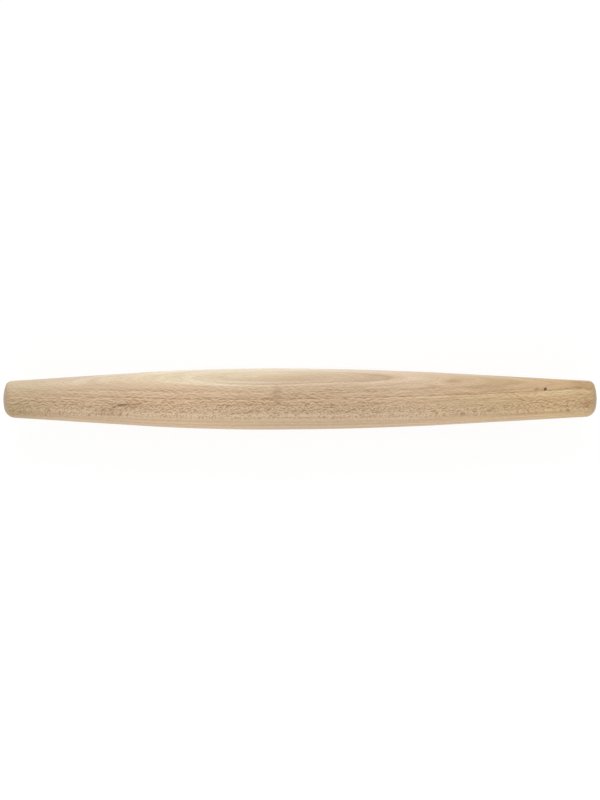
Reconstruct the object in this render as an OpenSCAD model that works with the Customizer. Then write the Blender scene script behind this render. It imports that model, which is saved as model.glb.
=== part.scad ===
// French rolling pin: one length of beech, turned on a lathe, with no handles and no axle.
// The belly is fullest a little to the left of mid-length. From that point a long shallow crown
// runs each way into a straight taper, and each end has a rounded edge and a shallow dome.
// The pin's axis lies along X and the origin is on it at mid-length. Sizes are in millimetres.

/* [Overall] */
// Length of the pin from tip to tip
pin_length = 500; // [440:5:560]
// Diameter at the fullest point of the belly
belly_d = 51.6; // [46:0.2:60]
// Distance of the fullest point from mid-length, towards the left end
belly_shift = 27; // [0:1:40]

/* [Left side] */
// Length of the crown that runs left from the fullest point to the straight taper
left_crown = 110; // [60:1:150]
// Diameter that the left taper would reach at the tip if its edge weren't rounded
left_end_d = 30.1; // [26:0.1:38]

/* [Right side] */
// Length of the crown that runs right from the fullest point to the straight taper
right_crown = 157; // [60:1:190]
// Diameter that the right taper would reach at the tip if its edge weren't rounded
right_end_d = 29.6; // [26:0.1:38]

/* [Ends] */
// Radius of the shallow dome on each end face
end_dome_r = 36; // [28:1:120]
// Radius of the rounded edge between each taper and its dome
end_edge_r = 8; // [2:0.5:10]

/* [Hidden] */

// Distances from the fullest point to the two tips
left_span = pin_length / 2 - belly_shift;
right_span = pin_length / 2 + belly_shift;

// How far a chord of the outline may lie inside the arc that it follows
chord_error = 0.005;
// Facets round the pin
$fn = 180;

// The colour of planed beech
beech = [0.79, 0.69, 0.56];

// Points of an arc that carries on from the outline's last point, which they leave out.
// Its angles are measured from the radial direction, towards the tip.
function arc_on(centre, r, from, to) =
    let (finest = 2 * acos(1 - chord_error / r))
    let (steps = ceil((to - from) / finest))
    let (turn = (to - from) / steps)
    [for (i = [1:steps]) centre + r * [cos(from + i * turn), sin(from + i * turn)]];

// One side's outline, from just past the fullest point to the tip: X is the radius, and Y the
// distance along the axis from the fullest point. Each stretch leaves the one before it on the
// same tangent, so the turned surface has no ridge.
function side_outline(span, crown, end_d) =
    let (belly_r = belly_d / 2)
    let (end_r = end_d / 2)

    // The tangents at the crown's two ends meet half way along it. The straight taper is the
    // second of them, and runs from there to the end's radius at the tip.
    let (half_crown = crown / 2)
    let (taper_angle = atan2(belly_r - end_r, span - half_crown))
    let (crown_r = half_crown / tan(taper_angle / 2))
    let (crown_centre = [belly_r - crown_r, 0])

    // Directions square to the taper, outwards, and along it, towards the tip
    let (outward = [cos(taper_angle), sin(taper_angle)])
    let (tipward = [-sin(taper_angle), cos(taper_angle)])

    // The edge's arc touches the taper, and it touches the dome from inside. So its centre lies
    // one edge radius inside the taper, and the two radii's difference from the dome's centre.
    let (dome_centre = [0, span - end_dome_r])
    let (from_dome = end_dome_r - end_edge_r)
    let (across = ([end_r, span] - dome_centre) * outward - end_edge_r)
    let (along = sqrt(from_dome * from_dome - across * across))
    let (edge_centre = dome_centre + across * outward + along * tipward)
    let (dome_angle = atan2(edge_centre.y - dome_centre.y, edge_centre.x))
    let (taper_end = edge_centre + end_edge_r * outward)

    concat(
        arc_on(crown_centre, crown_r, 0, taper_angle),
        [taper_end],
        arc_on(edge_centre, end_edge_r, taper_angle, dome_angle),
        arc_on(dome_centre, end_dome_r, dome_angle, 90)
    );

// The same outline on the other side of the fullest point, listed from the tip
function mirrored(outline) = [for (i = [len(outline) - 1:-1:0]) [outline[i].x, -outline[i].y]];

// The whole pin, turned from an outline that runs from tip to tip through the fullest point
module rolling_pin() {
    left = side_outline(left_span, left_crown, left_end_d);
    right = side_outline(right_span, right_crown, right_end_d);
    color(beech)
    rotate([0, 90, 0])
    translate([0, 0, -belly_shift])
    rotate_extrude()
        polygon(concat(mirrored(left), [[belly_d / 2, 0]], right));
}

rolling_pin();
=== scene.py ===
import math

import bpy
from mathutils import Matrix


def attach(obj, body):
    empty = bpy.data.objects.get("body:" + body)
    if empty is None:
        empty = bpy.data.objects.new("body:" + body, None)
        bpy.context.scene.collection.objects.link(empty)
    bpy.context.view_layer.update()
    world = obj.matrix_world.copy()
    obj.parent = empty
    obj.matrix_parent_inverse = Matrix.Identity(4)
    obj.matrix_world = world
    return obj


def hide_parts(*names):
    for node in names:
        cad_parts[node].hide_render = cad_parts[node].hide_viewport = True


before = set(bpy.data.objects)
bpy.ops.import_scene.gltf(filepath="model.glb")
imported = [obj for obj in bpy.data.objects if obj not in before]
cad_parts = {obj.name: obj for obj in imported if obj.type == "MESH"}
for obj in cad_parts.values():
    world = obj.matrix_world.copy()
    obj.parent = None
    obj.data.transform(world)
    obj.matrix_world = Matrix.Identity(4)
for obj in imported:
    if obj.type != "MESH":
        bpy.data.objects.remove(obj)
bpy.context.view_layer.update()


# The pin
# One length of steamed beech, turned between centres on a copying lathe, sanded while it
# turned and left without a finish. It has no handles: the palms roll it on its tapers.
MM = 0.001
HALF_LENGTH = 250.0
SPAN = 2 * HALF_LENGTH
BELLY_RADIUS = 25.8
BELLY_AT = -27.0
LEFT_CROWN = 110.0
RIGHT_CROWN = 157.0
LEFT_END_RADIUS = 15.05
RIGHT_END_RADIUS = 14.8
DOME_RADIUS = 36.0
EDGE_RADIUS = 7.3
# The ends were eased by hand after turning, a little more on the side that faces down the photo.
EDGE_UNEVEN = 1.9
# How far the sanding left the surface from a true turning, and how it varies along the pin
SANDING_WAVE = 0.035
SHORT_WAVE = 5.3
LONG_WAVE = 11.7
SHORT_SHARE = 0.4
LONG_SHARE = 0.6
WAVE_FADE = 20

AROUND = 128
STATION_STEP = 1.4
EDGE_STEPS = 12
DOME_STEPS = 10


def side_outline(span, crown, end_radius, edge_radius):
    """One side's outline as (radius, distance from the fullest point), from there to the tip."""
    half = crown / 2
    lean = math.atan2(BELLY_RADIUS - end_radius, span - half)
    crown_radius = half / math.tan(lean / 2)
    crown_centre = BELLY_RADIUS - crown_radius
    outward = (math.cos(lean), math.sin(lean))
    tipward = (-math.sin(lean), math.cos(lean))
    dome_centre = span - DOME_RADIUS
    across = end_radius * outward[0] + DOME_RADIUS * outward[1] - edge_radius
    along = math.sqrt((DOME_RADIUS - edge_radius) ** 2 - across ** 2)
    edge_x = across * outward[0] + along * tipward[0]
    edge_y = dome_centre + across * outward[1] + along * tipward[1]
    dome_angle = math.atan2(edge_y - dome_centre, edge_x)
    taper_end = (edge_x + edge_radius * outward[0], edge_y + edge_radius * outward[1])
    crown_end = (crown_centre + crown_radius * outward[0], crown_radius * outward[1])

    outline = []
    steps = round(crown / STATION_STEP)
    for i in range(steps):
        angle = lean * i / steps
        outline.append((crown_centre + crown_radius * math.cos(angle), crown_radius * math.sin(angle)))
    steps = round((span - crown) / STATION_STEP)
    for i in range(steps):
        share = i / steps
        radius = crown_end[0] + (taper_end[0] - crown_end[0]) * share
        outline.append((radius, crown_end[1] + (taper_end[1] - crown_end[1]) * share))
    for i in range(EDGE_STEPS):
        angle = lean + (dome_angle - lean) * i / EDGE_STEPS
        outline.append((edge_x + edge_radius * math.cos(angle), edge_y + edge_radius * math.sin(angle)))
    for i in range(DOME_STEPS + 1):
        angle = dome_angle + (math.pi / 2 - dome_angle) * i / DOME_STEPS
        outline.append((DOME_RADIUS * math.cos(angle), dome_centre + DOME_RADIUS * math.sin(angle)))
    return outline


def pin_outline(angle):
    """The outline from the left tip to the right tip, as (x, radius), at an angle round the pin."""
    edge_radius = EDGE_RADIUS - EDGE_UNEVEN * math.sin(angle)
    left = side_outline(HALF_LENGTH + BELLY_AT, LEFT_CROWN, LEFT_END_RADIUS, edge_radius)
    right = side_outline(HALF_LENGTH - BELLY_AT, RIGHT_CROWN, RIGHT_END_RADIUS, edge_radius)
    outline = [(BELLY_AT - y, radius) for radius, y in reversed(left)]
    outline += [(BELLY_AT + y, radius) for radius, y in right[1:]]
    return outline


def sanded(x, radius, angle):
    """The radius with the faint waves that the sanding belt left."""
    waves = math.sin(x / SHORT_WAVE + 0.7 * math.sin(angle)) * SHORT_SHARE
    waves += math.sin(x / LONG_WAVE + 2 * angle + 1.3) * LONG_SHARE
    fade = min(1.0, (HALF_LENGTH - abs(x)) / WAVE_FADE)
    return radius + SANDING_WAVE * waves * max(fade, 0.0) * (radius / BELLY_RADIUS)


def angle_at(j):
    """The angle at step j round the pin, which starts and ends at its underside."""
    return 2 * math.pi * j / AROUND - math.pi


outlines = [pin_outline(angle_at(j)) for j in range(AROUND)]
stations = len(outlines[0])
# Distance along the outline, which unrolls the pin's side for its map
walked = [0.0]
for (x0, r0), (x1, r1) in zip(outlines[0], outlines[0][1:]):
    walked.append(walked[-1] + math.hypot(x1 - x0, r1 - r0))
first_side = DOME_STEPS
last_side = stations - 1 - DOME_STEPS

points = [(-HALF_LENGTH * MM, 0.0, 0.0)]
for i in range(1, stations - 1):
    for j in range(AROUND):
        angle = angle_at(j)
        x, radius = outlines[j][i]
        radius = sanded(x, radius, angle) * MM
        points.append((x * MM, radius * math.sin(angle), radius * math.cos(angle)))
points.append((HALF_LENGTH * MM, 0.0, 0.0))
right_tip = len(points) - 1


def at(i, j):
    """The number of the point at station i and step j round the pin."""
    if i == 0:
        return 0
    if i == stations - 1:
        return right_tip
    return 1 + (i - 1) * AROUND + j % AROUND


# The map's places: the side unrolled as one strip, and below it the two end faces laid flat
STRIP_LEFT = 0.01
STRIP_WIDE = 0.98
STRIP_LOW = 0.135
STRIP_HIGH = 0.855
DISC_AT = {"left": (0.065, 0.063), "right": (0.19, 0.063)}
DISC_SCALE = 0.0052


def strip_place(i, j):
    """Where a point of the pin's side lies on the map."""
    share = (walked[i] - walked[first_side]) / (walked[last_side] - walked[first_side])
    return STRIP_LEFT + STRIP_WIDE * share, STRIP_LOW + STRIP_HIGH * j / AROUND


def disc_place(i, j):
    """Where a point of an end face lies on the map."""
    middle = DISC_AT["left" if i <= first_side else "right"]
    _, y, z = points[at(i, j)]
    return middle[0] + DISC_SCALE * y / MM, middle[1] + DISC_SCALE * z / MM


faces = []
map_places = []
for i in range(stations - 1):
    laid_flat = strip_place if first_side <= i < last_side else disc_place
    for j in range(AROUND):
        corners = [(i, j), (i + 1, j), (i + 1, j + 1), (i, j + 1)]
        if i == 0:
            corners = [(i, j), (i + 1, j), (i + 1, j + 1)]
        if i == stations - 2:
            corners = [(i, j), (i + 1, j), (i, j + 1)]
        faces.append([at(*corner) for corner in corners])
        map_places.extend(laid_flat(*corner) for corner in corners)

pin_mesh = bpy.data.meshes.new("turned_pin")
pin_mesh.from_pydata(points, [], faces)
pin_map = pin_mesh.uv_layers.new(name="OFBake")
pin_map.uv.foreach_set("vector", [value for spot in map_places for value in spot])
pin_mesh.polygons.foreach_set("use_smooth", [True] * len(faces))
pin_mesh.update()
pin = bpy.data.objects.new("turned_pin", pin_mesh)
bpy.context.scene.collection.objects.link(pin)


class Shade:
    """A socket in a material. An expression on it adds the Math nodes that work it out."""

    def __init__(self, tree, socket=None):
        self.tree = tree
        self.socket = socket

    def node(self, kind, settings, values, result=0):
        """A result of a new node, by name or number. The node's settings are set before its inputs."""
        made = self.tree.nodes.new(kind)
        for name, setting in settings.items():
            if name == "stops":
                ramp = made.color_ramp.elements
                while len(ramp) < len(setting):
                    ramp.new(1.0)
                for stop, (share, tint) in zip(ramp, setting):
                    stop.position = share
                    stop.color = tint
            elif name == "curve":
                curve = made.mapping.curves[0].points
                while len(curve) < len(setting):
                    curve.new(1.0, 1.0)
                for point, spot in zip(curve, setting):
                    point.location = spot
                made.mapping.update()
            else:
                setattr(made, name, setting)
        inputs = dict(enumerate(made.inputs))
        inputs.update({socket.identifier: socket for socket in made.inputs})
        for name, value in values.items():
            if isinstance(value, Shade):
                self.tree.links.new(value.socket, inputs[name])
            else:
                inputs[name].default_value = value
        return Shade(self.tree, made.outputs[result] if made.outputs else None)

    def maths(self, operation, first, second=0.0):
        return self.node("ShaderNodeMath", {"operation": operation}, {0: first, 1: second})

    def __add__(self, other):
        return self.maths("ADD", self, other)

    __radd__ = __add__

    def __sub__(self, other):
        return self.maths("SUBTRACT", self, other)

    def __rsub__(self, other):
        return self.maths("SUBTRACT", other, self)

    def __mul__(self, other):
        return self.maths("MULTIPLY", self, other)

    __rmul__ = __mul__

    def __truediv__(self, other):
        return self.maths("DIVIDE", self, other)

    def least(self, other):
        return self.maths("MINIMUM", self, other)

    def most(self, other):
        return self.maths("MAXIMUM", self, other)

    def root(self):
        return self.maths("SQRT", self)

    def size(self):
        return self.maths("ABSOLUTE", self)

    def past_whole(self):
        return self.maths("FRACT", self)

    def rise(self, low, high):
        """0 below low, 1 above high and a smooth rise between them, or a fall where low is higher."""
        ends = {"Value": self, "From Min": low, "From Max": high, "To Min": 0.0, "To Max": 1.0}
        return self.node("ShaderNodeMapRange", {"interpolation_type": "SMOOTHSTEP"}, ends)

    def near(self, centre, reach):
        """1 at the centre, and a smooth fall to 0 at that reach on either side."""
        return (self - centre).size().rise(reach, 0.0)


def colour(red, green, blue):
    """A colour as a picture gives it, 0 to 255, turned into the light it stands for."""
    light = []
    for value in (red, green, blue):
        share = value / 255
        light.append(share / 12.92 if share <= 0.04045 else ((share + 0.055) / 1.055) ** 2.4)
    return (*light, 1.0)


# A Mix node's results have one name, and this is the number of the colour
MIXED_COLOUR = 2


def mixed(factor, first, second, blend="MIX"):
    """Two colours mixed by a factor, which counts from 0 to 1."""
    settings = {"data_type": "RGBA", "blend_type": blend, "clamp_result": False}
    values = {"Factor_Float": factor, "A_Color": first, "B_Color": second}
    return wood.node("ShaderNodeMix", settings, values, MIXED_COLOUR)


beech = bpy.data.materials.new("steamed_beech")
beech.use_nodes = True
beech_tree = beech.node_tree
beech_tree.nodes.clear()
wood = Shade(beech_tree)

# Places in the wood, in millimetres
in_metres = wood.node("ShaderNodeTexCoord", {}, {}, "Object")
here = wood.node("ShaderNodeVectorMath", {"operation": "SCALE"}, {0: in_metres, "Scale": 1 / MM})
x = wood.node("ShaderNodeSeparateXYZ", {}, {0: here}, "X")
y = wood.node("ShaderNodeSeparateXYZ", {}, {0: here}, "Y")
z = wood.node("ShaderNodeSeparateXYZ", {}, {0: here}, "Z")
# How far a place is from the pin's axis, and how much the surface there faces up the photo:
# 1 at its upper edge, 0 where it faces the camera and -1 at its lower edge
from_axis = (y * y + z * z).root()
turned = y / from_axis


def spot_in(a, b, c):
    """A vector of three values."""
    return wood.node("ShaderNodeCombineXYZ", {}, {0: a, 1: b, 2: c})


def cloud(a, b, c, detail=1.0, roughness=0.5):
    """Soft random values round 0, about -0.5 to 0.5, where a, b and c are places in cloud sizes."""
    values = {"Vector": spot_in(a, b, c), "Scale": 1.0, "Detail": detail, "Roughness": roughness}
    return wood.node("ShaderNodeTexNoise", {}, values) - 0.5


# The growth rings' surfaces lie square to this direction, which leans from the pin's top side
# towards the far side of the photo. They aren't quite flat, but sway a little.
RING_LEAN = math.radians(49)
SLOW_SWAY = 0.35
QUICK_SWAY = 0.4
depth = y * math.sin(RING_LEAN) + z * math.cos(RING_LEAN)
across = y * math.cos(RING_LEAN) - z * math.sin(RING_LEAN)
slow_wave = cloud(x / 60, across / 14, depth / 30)
quick_wave = cloud(x / 9, across / 5, depth / 3.2 + 7.3)
ring_depth = depth + slow_wave * SLOW_SWAY + quick_wave * QUICK_SWAY

# Three growth lines bow along the pin. Each is given as places along it, and its depth there.
LOW_LINE = [
    (-250, 11.3), (-200, 13.2), (-150, 14.75), (-110, 15.65), (-50, 16.35), (0, 16.65),
    (50, 16.75), (100, 16.45), (150, 15.75), (190, 15.4), (228, 14.95), (238, 14.5), (250, 12.0),
]
CREAM_LINE = [
    (-250, 15.8), (-187, 19.0), (-149, 21.1), (-116, 22.6), (-83, 23.3), (-50, 23.5), (-27, 23.5),
    (10, 23.6), (28, 23.8), (55, 23.6), (78, 23.2), (127, 22.0), (250, 18.4),
]
HEART_LINE = [
    (-250, 21.0), (-150, 23.6), (-100, 24.7), (-80, 24.3), (-60, 24.0), (-27, 23.95),
    (20, 24.3), (50, 24.1), (72, 23.85), (130, 22.9), (250, 19.5),
]
DEEPEST_LINE = 30.0
along = (x + HALF_LENGTH) / SPAN


def along_pin(line, highest):
    """The value that a line of (place, value) has along the pin. A curve holds only 0 to 1."""
    curve = [((at_x + HALF_LENGTH) / SPAN, value / highest) for at_x, value in line]
    return wood.node("ShaderNodeFloatCurve", {"curve": curve}, {"Value": along}) * highest


low_line = along_pin(LOW_LINE, DEEPEST_LINE)
cream_line = along_pin(CREAM_LINE, DEEPEST_LINE)
heart_line = along_pin(HEART_LINE, DEEPEST_LINE)

# Rings counted outwards: 0 at the low line, 1 at the cream line and 2 at the heart line
lower = (ring_depth - low_line) / (cream_line - low_line)
upper = (ring_depth - cream_line) / (heart_line - cream_line)
ring = lower.least(1.0) + upper.most(0.0).least(2.0)

# The wood's tone by that count
RING_TONES = [
    (-6.2, (209, 183, 150)),
    (-5.2, (200, 171, 137)),
    (-5.12, (213, 188, 156)),
    (-4.25, (202, 173, 140)),
    (-4.18, (212, 186, 153)),
    (-3.3, (199, 170, 137)),
    (-3.22, (210, 183, 150)),
    (-2.6, (206, 178, 146)),
    (-2.1, (199, 171, 138)),
    (-2.04, (209, 182, 150)),
    (-1.25, (204, 177, 145)),
    (-1.0, (203, 175, 143)),
    (-0.8, (208, 180, 148)),
    (-0.7, (207, 179, 147)),
    (-0.64, (195, 166, 134)),
    (-0.55, (199, 170, 138)),
    (-0.4, (204, 176, 143)),
    (-0.08, (203, 173, 142)),
    (0.3, (202, 172, 141)),
    (0.48, (208, 180, 148)),
    (0.57, (208, 180, 148)),
    (0.62, (194, 164, 132)),
    (0.7, (198, 169, 137)),
    (0.8, (206, 178, 146)),
    (3.0, (206, 178, 147)),
]
RING_LOW = RING_TONES[0][0]
RING_HIGH = RING_TONES[-1][0]
TONE_LIFT = 1.05
ring_stops = []
for count, parts in RING_TONES:
    share = (count - RING_LOW) / (RING_HIGH - RING_LOW)
    ring_stops.append((share, colour(*(TONE_LIFT * part for part in parts))))
ring_share = (ring - RING_LOW) / (RING_HIGH - RING_LOW)
tone = wood.node("ShaderNodeValToRGB", {"stops": ring_stops}, {0: ring_share})

# The wood's brightness drifts along its length
DRIFT = [
    (-250, 0.97), (-200, 1.01), (-150, 1.06), (-100, 1.12), (-60, 1.07), (0, 1.006),
    (60, 1.006), (100, 1.05), (150, 1.04), (180, 1.02), (210, 1.07), (235, 1.02), (250, 1.0),
]
BRIGHTEST = 2.0
tone = mixed(1.0, tone, along_pin(DRIFT, BRIGHTEST), "MULTIPLY")

# The low line is a thin pale edge with a darker, broken one inside it. Towards the right end a
# pale band lies outside it.
BAND_PALE = colour(234, 208, 172)
EDGE_PALE = colour(236, 209, 174)
EDGE_DARK = colour(160, 126, 90)
past_line = ring_depth - low_line
pale_edge = (past_line + 0.3).near(0.0, 0.6) * (x.rise(40.0, 110.0) * 0.55 + 0.4)
broken = cloud(x / 4, across / 2, depth / 4 + 3.1).rise(-0.25, 0.25)
edge_depth = broken * (x.near(-35.0, 80.0) * 0.4 + 0.65) - x.near(122.0, 60.0) * 0.35 + 0.1
dark_edge = (past_line - 0.4).near(0.0, 0.6) * edge_depth.most(0.0) * x.rise(-225.0, -165.0)
pale_band = (past_line + 1.3).near(0.0, 2.0) * x.rise(70.0, 165.0) * x.rise(238.0, 224.0)
tone = mixed(pale_band * 0.75, tone, BAND_PALE)
tone = mixed(pale_edge, tone, EDGE_PALE)
tone = mixed(dark_edge, tone, EDGE_DARK)

# Above the cream line the wood is pale, and inside the heart line it turns tan to the right
CREAM_LEFT = colour(243, 224, 192)
CREAM_RIGHT = colour(230, 204, 174)
HEART_TAN = colour(215, 187, 155)
HEART_EDGE = colour(200, 169, 137)
cream = mixed(x.rise(-80.0, 30.0), CREAM_LEFT, CREAM_RIGHT)
cream_width = x.rise(-30.0, -130.0) * 1.1 + 0.2
tone = mixed((ring_depth - cream_line).rise(-0.5, cream_width), tone, cream)
heart = ring.rise(1.85, 2.1) * (x.rise(-115.0, 60.0) * 0.85 + 0.15) * (1.0 - x.rise(46.0, 80.0) * 0.6)
tone = mixed(heart * (turned.rise(0.86, 0.6) * 0.66 + 0.42), tone, HEART_TAN)
heart_edge = (ring_depth - heart_line - 0.12).near(0.0, 0.4) * x.rise(-100.0, -30.0)
tone = mixed(heart_edge * 0.7, tone, HEART_EDGE)

# The side towards +Y, the upper edge in the camera's view, is lighter: partly pale sapwood and partly
# painted light from that side
SAPWOOD_AND_LIT_CREAM = colour(253, 241, 215)
PAINTED_LIGHT_LEFT = colour(232, 210, 183)
sapwood_and_painted_light = (turned + x.rise(-120.0, -215.0) * 0.3).rise(0.78, 1.0) * x.rise(250.0, -80.0)
tone = mixed(sapwood_and_painted_light * x.rise(-235.0, -95.0) * 0.95, tone, SAPWOOD_AND_LIT_CREAM)
# Painted light: the upper side of the left end is lightened, where there is no sapwood
tone = mixed(sapwood_and_painted_light * x.rise(-120.0, -200.0) * 0.7, tone, PAINTED_LIGHT_LEFT)

# The right end is warmer, most of all on its upper side, with a ruddy patch by the tip
WARM_TINT = colour(251, 248, 231)
AMBER_TINT = colour(240, 233, 219)
RUDDY_BROWN = colour(182, 134, 98)
warm = x.rise(80.0, 212.0) * (1.0 - turned.size().rise(0.75, 0.95) * x.rise(222.0, 170.0) * 0.6)
tone = mixed(warm, tone, WARM_TINT, "MULTIPLY")
amber = x.rise(214.0, 240.0) * (y + slow_wave * 5).rise(3.0, 8.0)
tone = mixed(amber * 0.8, tone, AMBER_TINT, "MULTIPLY")
ruddy_along = (x - 240.0 + quick_wave * 6).near(0.0, 9.0)
ruddy_round = (y + 3.2 + quick_wave * 4).near(0.0, 5.0) * z.rise(0.0, 5.0)
tone = mixed(ruddy_along * ruddy_round * 0.6, tone, RUDDY_BROWN)

# The left end has a paler stripe, a faint green cast, and painted shade that darkens its lower side
STRIPE_PALE = colour(226, 202, 171)
GREEN_TINT = colour(251, 255, 250)
PAINTED_SHADE_TINT = colour(239, 236, 226)
pale_stripe = x.rise(-180.0, -222.0) * turned.near(0.47, 0.13)
tone = mixed(pale_stripe * 0.5, tone, STRIPE_PALE)
tone = mixed(x.rise(-190.0, -235.0), tone, GREEN_TINT, "MULTIPLY")
# Painted shade: the lower side of the left end is darkened
painted_shade_left = x.rise(-200.0, -240.0) * (y + slow_wave * 5).rise(-1.0, -6.0)
tone = mixed(painted_shade_left, tone, PAINTED_SHADE_TINT, "MULTIPLY")

# How nearly the surface faces along the rings' normal: 1 where it does, 0 where it cuts square
# across them. This sets which figure the wood shows: the rays' flecks in one zone, and in the
# next only fine lines. To the right of the middle the wood is still for a stretch.
facing = depth / from_axis
still = x.rise(60.0, 110.0) * x.rise(190.0, 150.0)
low_reach = x.rise(-130.0, -225.0) * 0.3
flecked = (facing + low_reach).rise(-0.03, 0.12) - (facing + still * 0.14).rise(0.38, 0.66)
lined = facing.rise(0.28, 0.6) - facing.rise(0.8, 0.98) * 0.75

# The broad rays are thin plates that stand along the pin and across the rings. Where one comes
# to the surface, it shows as a darker fleck.
grain_across = across - x * 0.04 + slow_wave * 1.2


def rays(cell, half, luck, rare):
    """Rays of those half sizes (along, thick, deep), one in each cell, with strengths up to 1."""
    there = spot_in(x / cell[0] + luck, grain_across / cell[1], depth / cell[2])
    found = {"feature": "F1", "distance": "EUCLIDEAN"}
    middle = wood.node("ShaderNodeTexVoronoi", found, {"Vector": there, "Scale": 1.0}, "Position")
    chance = wood.node("ShaderNodeTexVoronoi", found, {"Vector": there, "Scale": 1.0}, "Color")
    chance = wood.node("ShaderNodeSeparateColor", {}, {0: chance})
    away = wood.node("ShaderNodeVectorMath", {"operation": "SUBTRACT"}, {0: there, 1: middle})
    reach = tuple(a / b for a, b in zip(cell, half))
    away = wood.node("ShaderNodeVectorMath", {"operation": "MULTIPLY"}, {0: away, 1: reach})
    away = wood.node("ShaderNodeVectorMath", {"operation": "LENGTH"}, {0: away}, "Value")
    return away.rise(1.2, 0.5) * chance.rise(rare, 0.95)


fine_rays = rays((3.0, 0.42, 12.0), (1.45, 0.11, 6.0), 0.0, 0.1)
broad_rays = rays((5.2, 0.95, 18.0), (2.2, 0.19, 8.0), 5.7, 0.45)
clumps = cloud(x / 14, grain_across / 2.5, depth / 9).rise(-0.2, 0.2) * 0.5 + 0.5

# How far into the wood a single mark reaches
MARK_DEEP = 6.0


def mark(at_x, turn, long, tall, slope):
    """A soft oval mark on the surface, centred at a place along and round the pin."""
    turn = math.radians(turn)
    radius = next(r for there, r in pin_outline(0.0) if there >= at_x)
    side_y = y - radius * math.sin(turn)
    side_z = z - radius * math.cos(turn)
    round_it = side_y * math.cos(turn) - side_z * math.sin(turn)
    inward = side_y * math.sin(turn) + side_z * math.cos(turn)
    off = x - at_x
    parts = spot_in(off / long, (round_it - off * slope) / tall, inward / MARK_DEEP)
    away = wood.node("ShaderNodeVectorMath", {"operation": "LENGTH"}, {0: parts}, "Value")
    return away.rise(1.0, 0.15)


def marks(several):
    """Several marks as one: the strongest at each place."""
    strongest = mark(*several[0])
    for one in several[1:]:
        strongest = strongest.most(mark(*one))
    return strongest


# The strongest single flecks, as places along and round the pin
FLECKS = [
    (241, -22.5), (-211, -34), (-60, -12.7), (-41.5, -11), (-41.7, -24), (-26, -19.5),
    (-17.8, -8), (-4.4, -23.3), (2.8, -22.5), (39.4, -26), (44.4, -21), (64.4, -26),
    (112, -28), (133, -29), (158.6, -28),
]
FLECK_LONG = 2.4
FLECK_TALL = 1.1
FLECK_SLOPE = 0.3
single = marks([(at_x, turn, FLECK_LONG, FLECK_TALL, FLECK_SLOPE) for at_x, turn in FLECKS])
fleck = ((fine_rays * 0.85).most(broad_rays * 1.8) * clumps).most(single * 1.7)
fleck = fleck * (fleck * 0.4 + 0.75)

# Ripples of the cut fibres. Each dark one has a pale one beside it, a step further towards -Y: a
# painted highlight, as if the ripple's relief were lit from one side.
HIGHLIGHT_STEP = 1.3
highlight_y = y + z / from_axis * HIGHLIGHT_STEP
highlight_z = z - turned * HIGHLIGHT_STEP


def rippled(long, tall, luck, pale):
    """Ripples of a length and a height, with a painted highlight beside each from a shifted copy. luck
    picks which ones, and pale is how strong the painted highlights are.
    """
    dark_ones = cloud(x / long + luck, y / tall, z / tall)
    # The shifted copy paints the highlight and shade of the ripples' relief
    painted_relief_light = cloud(x / long + luck, highlight_y / tall, highlight_z / tall)
    return dark_ones - painted_relief_light * pale


ripples = rippled(1.5, 0.65, 0.0, facing.rise(0.05, 0.5) * 0.9)
long_ripples = rippled(4.0, 0.75, 4.0, 0.9)

# Bands that follow the rings, pores drawn out along the pin, short marks as from a comb where
# the surface cuts square across the rings, and wide, faint patches
bands = cloud(x / 80, across / 18, ring_depth / 0.8, 2.0, 0.6)
pores = cloud(x / 4.5, y / 0.32, z / 0.32, 2.0, 0.6)
combed = cloud(x / 1.4, y / 3.0, z / 3.0) * facing.near(0.05, 0.2) * 1.5
patches = cloud(x / 22, across / 5, depth / 6 + 5.0) * lined * 0.6

# Low on the near side the growth lines are cut nearly square, and run there as even rows. Each
# is a height on the pin's lower half, from 0 at its lower edge to 1 at its middle, and a tone.
ROWS = [
    (0.0, 0.5), (0.034, 0.5), (0.055, 0.4), (0.09, 0.62), (0.134, 0.45), (0.176, 0.58),
    (0.223, 0.4), (0.269, 0.5), (0.324, 0.61), (0.371, 0.47), (0.412, 0.5), (0.47, 0.6),
    (0.538, 0.4), (0.6, 0.5), (0.66, 0.5), (0.8, 0.5), (1.0, 0.5),
]
row_height = (turned + slow_wave * 0.02 + 1.0).least(1.0)
rows = wood.node("ShaderNodeFloatCurve", {"curve": ROWS}, {"Value": row_height})
dark_row_along = x.rise(85.0, 125.0) * x.rise(238.0, 216.0) + x.rise(-185.0, -205.0)
dark_row = (turned + 0.68).near(0.0, 0.07) * dark_row_along
pale_row = (turned + 0.785).near(0.0, 0.07) * x.rise(105.0, 140.0)
rows = rows - dark_row * 0.3 + pale_row * 0.22

# Each kind of figure has its own zone. Together they darken the wood between its palest tone
# and its deepest.
ripple_zone = flecked * 0.75 + facing.near(0.34, 0.2) * 0.4 + 0.25
fleck_zone = flecked * 1.3 + facing.near(0.42, 0.22) * 0.45 + 0.1
short_figure = (ripples + ripples.most(0.0)) * 1.7 * ripple_zone + fleck * fleck_zone
streaked = facing.near(0.48, 0.32) * (1.0 - still * 0.9)
calm = 1.0 - facing.near(0.68, 0.32) * still * 0.4
long_figure = long_ripples * (streaked * 1.2 + 1.5) * lined * calm
band_zone = facing.rise(0.8, 0.95) * 0.3 + lined * 0.6 + 0.5
pore_zone = facing.rise(0.2, -0.1) * 0.8 + 0.5
plain_figure = bands * band_zone + pores * pore_zone + facing.rise(0.1, -0.1) * 0.08
MEAN_DARKNESS = 0.79
darkness = short_figure + long_figure + combed + plain_figure + patches - rows + MEAN_DARKNESS
PALEST_TINT = (1.057, 1.077, 1.099, 1.0)
DEEPEST_TINT = (0.583, 0.457, 0.329, 1.0)
tone = mixed(1.0, tone, PALEST_TINT, "MULTIPLY")
tone = mixed(darkness, tone, DEEPEST_TINT, "MULTIPLY")

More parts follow.
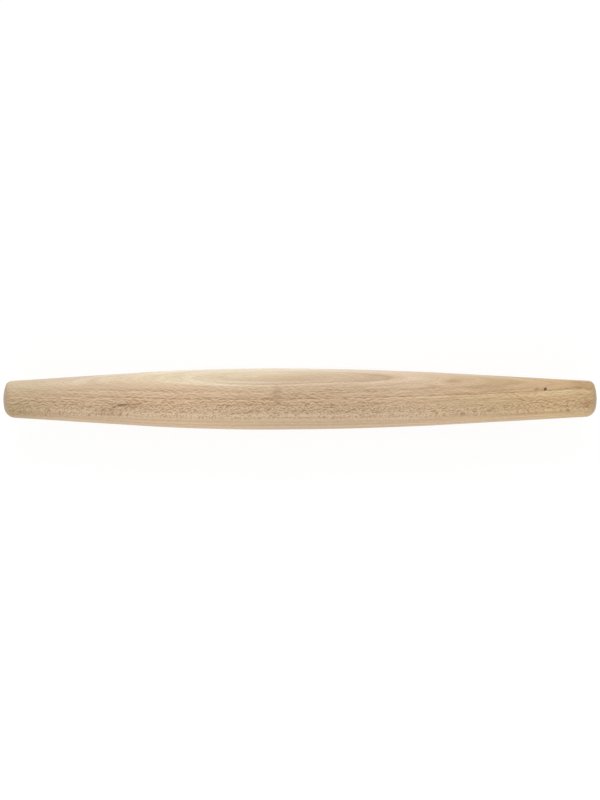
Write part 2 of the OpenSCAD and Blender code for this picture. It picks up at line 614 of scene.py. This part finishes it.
# Marks that this length of wood has: a dark streak with a tail, a pin knot with a faint one
# beside it, a soft smudge, and some dull patches
STREAK_BROWN = colour(112, 76, 38)
SMUDGE_BROWN = colour(150, 118, 90)
DULL_TINT = colour(236, 229, 222)
KNOT_BROWN = colour(88, 50, 0)
FAINT_KNOT_BROWN = colour(104, 72, 40)
streak = mark(-149.8, -13.9, 8.0, 1.5, 0.08).most(mark(-155.4, -18.8, 1.9, 1.4, 0.5))
streak = streak.most(mark(-157.5, -23.0, 3.4, 1.6, 0.8) * 0.5)
smudge = mark(-19.0, 8.5, 6.5, 11.0, 0.0)
DULL_PATCHES = [
    (111.0, 29.0, 9.0, 2.6, 0.0), (160, 26.5, 32, 4.6, 0.03), (128, 44, 13, 3.6, 0.05),
    (-160, -31, 17, 5.0, 0.0), (-140, -13, 14, 3.2, 0.0),
]
knot = (mark(205.7, 28.0, 1.9, 2.1, 0.2) * 2.2).least(1.0)
knot = knot.most(mark(202.6, 26.2, 4.0, 1.4, 0.1) * 0.35)
faint_knot = mark(198.5, 28.0, 3.0, 1.9, 0.2)
tone = mixed(streak * 0.75, tone, STREAK_BROWN)
tone = mixed(smudge * 0.35, tone, SMUDGE_BROWN)
tone = mixed(marks(DULL_PATCHES), tone, DULL_TINT, "MULTIPLY")
tone = mixed(knot, tone, KNOT_BROWN)
tone = mixed(faint_knot * 0.5, tone, FAINT_KNOT_BROWN)

# The domes and the rounded edges are end grain. There the rings show as arcs, each one darker
# towards its outer side, and the rays cross them as fine pale lines.
RING_WIDTH = 2.3
ARC_BOW = 0.0045
EARLY_WOOD = colour(206, 178, 147)
LATE_WOOD = colour(178, 146, 114)
RAY_PALE = colour(226, 201, 170)
PORE_BROWN = colour(140, 106, 76)
normal = wood.node("ShaderNodeNewGeometry", {}, {}, "Normal")
along_normal = wood.node("ShaderNodeSeparateXYZ", {}, {0: normal}, "X")
end_grain = along_normal.size().rise(0.3, 0.85)
arcs = depth + across * across * ARC_BOW + cloud(x / 60 + 2.0, across / 12, depth / 4) * 1.8
in_ring = (arcs / RING_WIDTH).past_whole()
late_wood = in_ring.rise(0.35, 0.9) - in_ring.rise(0.93, 1.0)
ray_lines = cloud(x / 20, across / 0.5, depth / 8).rise(0.02, 0.2)
open_pores = cloud(x / 9, y / 0.3, z / 0.3).rise(0.0, 0.25)
cut = mixed(late_wood * 0.6, EARLY_WOOD, LATE_WOOD)
cut = mixed(ray_lines * 0.4, cut, RAY_PALE)
cut = mixed(open_pores * 0.25, cut, PORE_BROWN)
cut = mixed(warm, cut, WARM_TINT, "MULTIPLY")
tone = mixed(end_grain * 0.92, tone, cut)

# The whole pin is a trace cooler than its tones add up to
COOL_TINT = colour(252, 254, 255)
tone = mixed(1.0, tone, COOL_TINT, "MULTIPLY")

# The grain stands in a faint relief, and the rays' faces are a little smoother than the rest
roughness = pores * 0.12 - fleck * 0.08 + end_grain * 0.1 + 0.5
relief_height = pores * 0.6 - fleck * 0.25
relief = {"Strength": 0.5, "Distance": 0.00006, "Height": relief_height}
finish = {
    "Base Color": tone,
    "Roughness": roughness,
    "Normal": wood.node("ShaderNodeBump", {}, relief),
    "Sheen Weight": 0.05,
    "Sheen Roughness": 0.4,
}
finished = wood.node("ShaderNodeBsdfPrincipled", {}, finish)
wood.node("ShaderNodeOutputMaterial", {}, {"Surface": finished})
pin_mesh.materials.append(beech)
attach(pin, "root")
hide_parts("rolling_pin")


# The floor
# A smooth pale table top under the pin. It keeps the pin's soft shadow, and the camera sees it
# as nearly white, as paper behind a product.
FLOOR_AT = -BELLY_RADIUS * MM
FLOOR_REACH = 6.0
FLOOR_GREY = 0.82
GLOW_STRENGTH = 1.1
GLOW_SHARE = 0.8
FLOOR_CORNERS = [(-1, -1), (1, -1), (1, 1), (-1, 1)]
floor_mesh = bpy.data.meshes.new("table_top")
floor_points = [(a * FLOOR_REACH, b * FLOOR_REACH, FLOOR_AT) for a, b in FLOOR_CORNERS]
floor_mesh.from_pydata(floor_points, [], [(0, 1, 2, 3)])
floor = bpy.data.objects.new("table_top", floor_mesh)
bpy.context.scene.collection.objects.link(floor)
table = bpy.data.materials.new("pale_table")
table.use_nodes = True
table_tree = table.node_tree
table_tree.nodes.clear()
top = Shade(table_tree)


def plainly_seen(surface):
    """1 for a ray that shows a surface to the camera, also in a gloss or through glass, else 0."""
    by_camera = surface.node("ShaderNodeLightPath", {}, {}, "Is Camera Ray")
    by_gloss = surface.node("ShaderNodeLightPath", {}, {}, "Is Glossy Ray")
    through = surface.node("ShaderNodeLightPath", {}, {}, "Is Transmission Ray")
    return by_camera.most(by_gloss).most(through)


paint = top.node("ShaderNodeBsdfDiffuse", {}, {"Color": (FLOOR_GREY, FLOOR_GREY, FLOOR_GREY, 1.0)})
glow = top.node("ShaderNodeEmission", {}, {"Color": (1.0, 1.0, 1.0, 1.0), "Strength": GLOW_STRENGTH})
glow_factor = plainly_seen(top) * GLOW_SHARE
covering = top.node("ShaderNodeMixShader", {}, {0: glow_factor, 1: paint, 2: glow})
top.node("ShaderNodeOutputMaterial", {}, {"Surface": covering})
floor_mesh.materials.append(table)


# The studio
# A white tent lights the pin from all round, with a soft panel on each long side of it. The
# panel beyond the pin is a little stronger.
ROOM_LIGHT = 0.5
world = bpy.data.worlds.new("white_tent")
bpy.context.scene.world = world
world.use_nodes = True
world_tree = world.node_tree
world_tree.nodes.clear()
tent = Shade(world_tree)
tent_strength = plainly_seen(tent) * (1 - ROOM_LIGHT) + ROOM_LIGHT
tent_cloth = {"Color": (1.0, 1.0, 1.0, 1.0), "Strength": tent_strength}
tent_light = tent.node("ShaderNodeBackground", {}, tent_cloth)
tent.node("ShaderNodeOutputWorld", {}, {"Surface": tent_light})

PANEL_AWAY = 1.6
PANEL_HEIGHT = math.radians(30)
PANEL_LONG = 2.2
PANEL_TALL = 1.0
FAR_STRENGTH = 0.6
NEAR_STRENGTH = 0.48
for name, side, strength in (("far_panel", 1, FAR_STRENGTH), ("near_panel", -1, NEAR_STRENGTH)):
    panel = bpy.data.lights.new(name, "AREA")
    panel.shape = "RECTANGLE"
    panel.size = PANEL_LONG
    panel.size_y = PANEL_TALL
    panel.energy = math.pi ** 2 * PANEL_AWAY ** 2 * strength
    stand = bpy.data.objects.new(name, panel)
    aside = side * PANEL_AWAY * math.cos(PANEL_HEIGHT)
    stand.location = (0.0, aside, PANEL_AWAY * math.sin(PANEL_HEIGHT))
    stand.rotation_euler = (-side * (math.pi / 2 - PANEL_HEIGHT), 0.0, 0.0)
    stand.visible_camera = False
    bpy.context.scene.collection.objects.link(stand)

scene = bpy.context.scene
scene.view_settings.view_transform = "Standard"


# The camera
# It looks straight down on the pin from far off, so that the pin's outline shows undistorted.
# The pin lies 1 pixel above the middle of the photo and leans by a twentieth of a degree.
PIN_PIXELS = 593.03
PIXEL = SPAN / PIN_PIXELS
LENS = 150.0
SENSOR = 36.0
FARTHEST_SEEN = 50.0
PHOTO_TALL = 800
AXIS_ABOVE_MIDDLE = 1.03
LEAN = 0.052
lens = bpy.data.cameras.new("photo_camera")
lens.lens = LENS
lens.sensor_width = SENSOR
lens.clip_end = FARTHEST_SEEN
camera = bpy.data.objects.new("photo_camera", lens)
camera_height = PHOTO_TALL * PIXEL * MM * LENS / SENSOR
camera.location = (0.0, -AXIS_ABOVE_MIDDLE * PIXEL * MM, camera_height)
camera.rotation_euler = (0.0, 0.0, -math.radians(LEAN))
bpy.context.scene.collection.objects.link(camera)
scene.camera = camera
